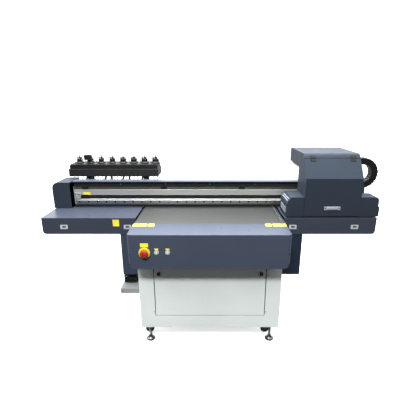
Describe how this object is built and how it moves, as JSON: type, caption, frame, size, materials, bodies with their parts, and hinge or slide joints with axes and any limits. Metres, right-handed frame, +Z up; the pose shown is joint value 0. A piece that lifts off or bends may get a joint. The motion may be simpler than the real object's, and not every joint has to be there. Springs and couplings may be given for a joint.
{
  "type": "flatbed uv printer",
  "caption": "Flatbed UV printer: a fixed vacuum table on a cabinet, under a moving gantry with a lifting beam, a print carriage, ink rack and energy chains.",
  "frame": {"origin": "centre of the bounding box's bottom face, on the floor under the machine", "axes": "+X to the operator's right along the print carriage's travel, +Y to the rear along the gantry's travel, +Z up"},
  "size_m": [2.226, 1.21, 1.186],
  "materials": {
    "slate_paint": "satin powder coat, slate blue",
    "dark_paint": "satin powder coat, dark navy",
    "cabinet_paint": "light grey powder coat",
    "table_anodised": "hard anodised grey",
    "bare_aluminium": "brushed extrusion",
    "bright_steel": "ground",
    "chrome": "bright plated",
    "black_plastic": "moulded black",
    "rack_paint": "charcoal powder coat",
    "black_rubber": "moulded rubber",
    "yellow_plastic": "signal yellow",
    "red_plastic": "signal red"
  },
  "bodies": {
    "base": {"cabinet_shell": "cabinet_paint", "cabinet_back_panel": "cabinet_paint", "front_fascia": "slate_paint", "estop_collar": "yellow_plastic", "vacuum_table": "table_anodised", "table_frame": "dark_paint", "y_guide_rail_left": "bright_steel", "y_guide_rail_right": "bright_steel", "y_drive_motor": "black_plastic", "control_box": "cabinet_paint", "vacuum_blower": "rack_paint", "y_chain_tray": "cabinet_paint", "y_chain_lower_run": "black_plastic", "levelling_foot_front_left": "chrome", "levelling_foot_front_right": "chrome", "levelling_foot_rear_left": "chrome", "levelling_foot_rear_right": "chrome"},
    "y_screw": {"y_ball_screw": "bright_steel"},
    "front_panel": {"front_panel": "cabinet_paint"},
    "latch_left": {"panel_latch_left": "black_plastic"},
    "latch_right": {"panel_latch_right": "black_plastic"},
    "estop": {"estop_head": "red_plastic"},
    "button_left": {"push_button_left": "chrome"},
    "button_right": {"push_button_right": "chrome"},
    "gantry": {"gantry_frame": "dark_paint", "wing_left": "slate_paint", "wing_right": "slate_paint", "side_cover_left": "dark_paint", "side_cover_right": "dark_paint", "lift_column_left": "bright_steel", "lift_column_right": "bright_steel", "y_chain_upper_run": "black_plastic"},
    "y_chain_loop": {"y_chain_loop": "black_plastic"},
    "cap_lift": {"capping_station": "black_plastic"},
    "beam": {"beam": "bare_aluminium", "beam_top_cover": "slate_paint", "end_cap_left": "slate_paint", "end_cap_right": "slate_paint", "x_guide_rail": "bright_steel", "x_belt": "black_rubber", "x_chain_trough": "bare_aluminium", "ink_rack": "rack_paint", "ink_tank_block": "black_plastic", "x_chain_lower_run": "black_plastic"},
    "x_chain_loop": {"x_chain_loop": "black_plastic"},
    "carriage": {"carriage_plate": "bare_aluminium", "carriage_cover": "slate_paint", "lamp_housing_left": "slate_paint", "lamp_housing_right": "slate_paint", "print_heads": "table_anodised", "x_chain_upper_run": "black_plastic"},
    "carriage_door": {"carriage_door": "slate_paint"},
    "caster_front_left": {"caster_fork_front_left": "chrome"},
    "wheel_front_left": {"caster_wheel_front_left": "black_rubber"},
    "caster_front_right": {"caster_fork_front_right": "chrome"},
    "wheel_front_right": {"caster_wheel_front_right": "black_rubber"},
    "caster_rear_left": {"caster_fork_rear_left": "chrome"},
    "wheel_rear_left": {"caster_wheel_rear_left": "black_rubber"},
    "caster_rear_right": {"caster_fork_rear_right": "chrome"},
    "wheel_rear_right": {"caster_wheel_rear_right": "black_rubber"}
  },
  "joints": [
    {"name": "gantry_travel", "type": "slide", "parent": "base", "child": "gantry", "axis": [0, 1, 0], "range_m": [-0.15, 0.45], "deforming": ["y_chain_lower_run", "y_chain_upper_run"]},
    {"name": "y_chain_loop_travel", "type": "slide", "parent": "base", "child": "y_chain_loop", "axis": [0, 1, 0], "range_m": [-0.075, 0.225]},
    {"name": "y_screw_spin", "type": "hinge", "parent": "base", "child": "y_screw", "pos_m": [-0.067, -0.349, 0.628], "axis": [0, 1, 0], "continuous": true},
    {"name": "cap_lift_travel", "type": "slide", "parent": "gantry", "child": "cap_lift", "axis": [0, 0, 1], "range_m": [0, 0.011]},
    {"name": "beam_lift", "type": "slide", "parent": "gantry", "child": "beam", "axis": [0, 0, 1], "range_m": [0, 0.1]},
    {"name": "carriage_travel", "type": "slide", "parent": "beam", "child": "carriage", "axis": [1, 0, 0], "range_m": [-1.4, 0], "deforming": ["x_chain_lower_run", "x_chain_upper_run"]},
    {"name": "x_chain_loop_travel", "type": "slide", "parent": "beam", "child": "x_chain_loop", "axis": [1, 0, 0], "range_m": [-0.7, 0]},
    {"name": "carriage_door_hinge", "type": "hinge", "parent": "carriage", "child": "carriage_door", "pos_m": [0.677, -0.20251, 1.159], "axis": [-1, 0, 0], "range_deg": [0, 95]},
    {"name": "estop_press", "type": "slide", "parent": "base", "child": "estop", "axis": [0, 1, 0], "range_m": [0, 0.004], "stiffness_N_per_m": 2000},
    {"name": "button_left_press", "type": "slide", "parent": "base", "child": "button_left", "axis": [0, 1, 0], "range_m": [0, 0.003], "stiffness_N_per_m": 800},
    {"name": "button_right_press", "type": "slide", "parent": "base", "child": "button_right", "axis": [0, 1, 0], "range_m": [0, 0.003], "stiffness_N_per_m": 800},
    {"name": "front_panel_pull", "type": "slide", "parent": "base", "child": "front_panel", "axis": [0, -1, 0], "range_m": [0, 0.3]},
    {"name": "latch_left_turn", "type": "hinge", "parent": "front_panel", "child": "latch_left", "pos_m": [-0.371, -0.425, 0.498], "axis": [0, 1, 0], "range_deg": [0, 90]},
    {"name": "latch_right_turn", "type": "hinge", "parent": "front_panel", "child": "latch_right", "pos_m": [0.237, -0.425, 0.498], "axis": [0, 1, 0], "range_deg": [-90, 0]},
    {"name": "caster_front_left_swivel", "type": "hinge", "parent": "base", "child": "caster_front_left", "pos_m": [-0.452, -0.303, 0.1], "axis": [0, 0, 1], "continuous": true},
    {"name": "wheel_front_left_roll", "type": "hinge", "parent": "caster_front_left", "child": "wheel_front_left", "pos_m": [-0.47, -0.303, 0.034], "axis": [0, 1, 0], "continuous": true},
    {"name": "caster_front_right_swivel", "type": "hinge", "parent": "base", "child": "caster_front_right", "pos_m": [0.318, -0.303, 0.1], "axis": [0, 0, 1], "continuous": true},
    {"name": "wheel_front_right_roll", "type": "hinge", "parent": "caster_front_right", "child": "wheel_front_right", "pos_m": [0.3, -0.303, 0.034], "axis": [0, 1, 0], "continuous": true},
    {"name": "caster_rear_left_swivel", "type": "hinge", "parent": "base", "child": "caster_rear_left", "pos_m": [-0.452, 0.483, 0.1], "axis": [0, 0, 1], "continuous": true},
    {"name": "wheel_rear_left_roll", "type": "hinge", "parent": "caster_rear_left", "child": "wheel_rear_left", "pos_m": [-0.47, 0.483, 0.034], "axis": [0, 1, 0], "continuous": true},
    {"name": "caster_rear_right_swivel", "type": "hinge", "parent": "base", "child": "caster_rear_right", "pos_m": [0.318, 0.483, 0.1], "axis": [0, 0, 1], "continuous": true},
    {"name": "wheel_rear_right_roll", "type": "hinge", "parent": "caster_rear_right", "child": "wheel_rear_right", "pos_m": [0.3, 0.483, 0.034], "axis": [0, 1, 0], "continuous": true}
  ],
  "couplings": [
    {"joint": "y_chain_loop_travel", "follows": "gantry_travel", "ratio": 0.5},
    {"joint": "y_screw_spin", "follows": "gantry_travel", "rad_per_m": 314.16},
    {"joint": "x_chain_loop_travel", "follows": "carriage_travel", "ratio": 0.5}
  ]
}
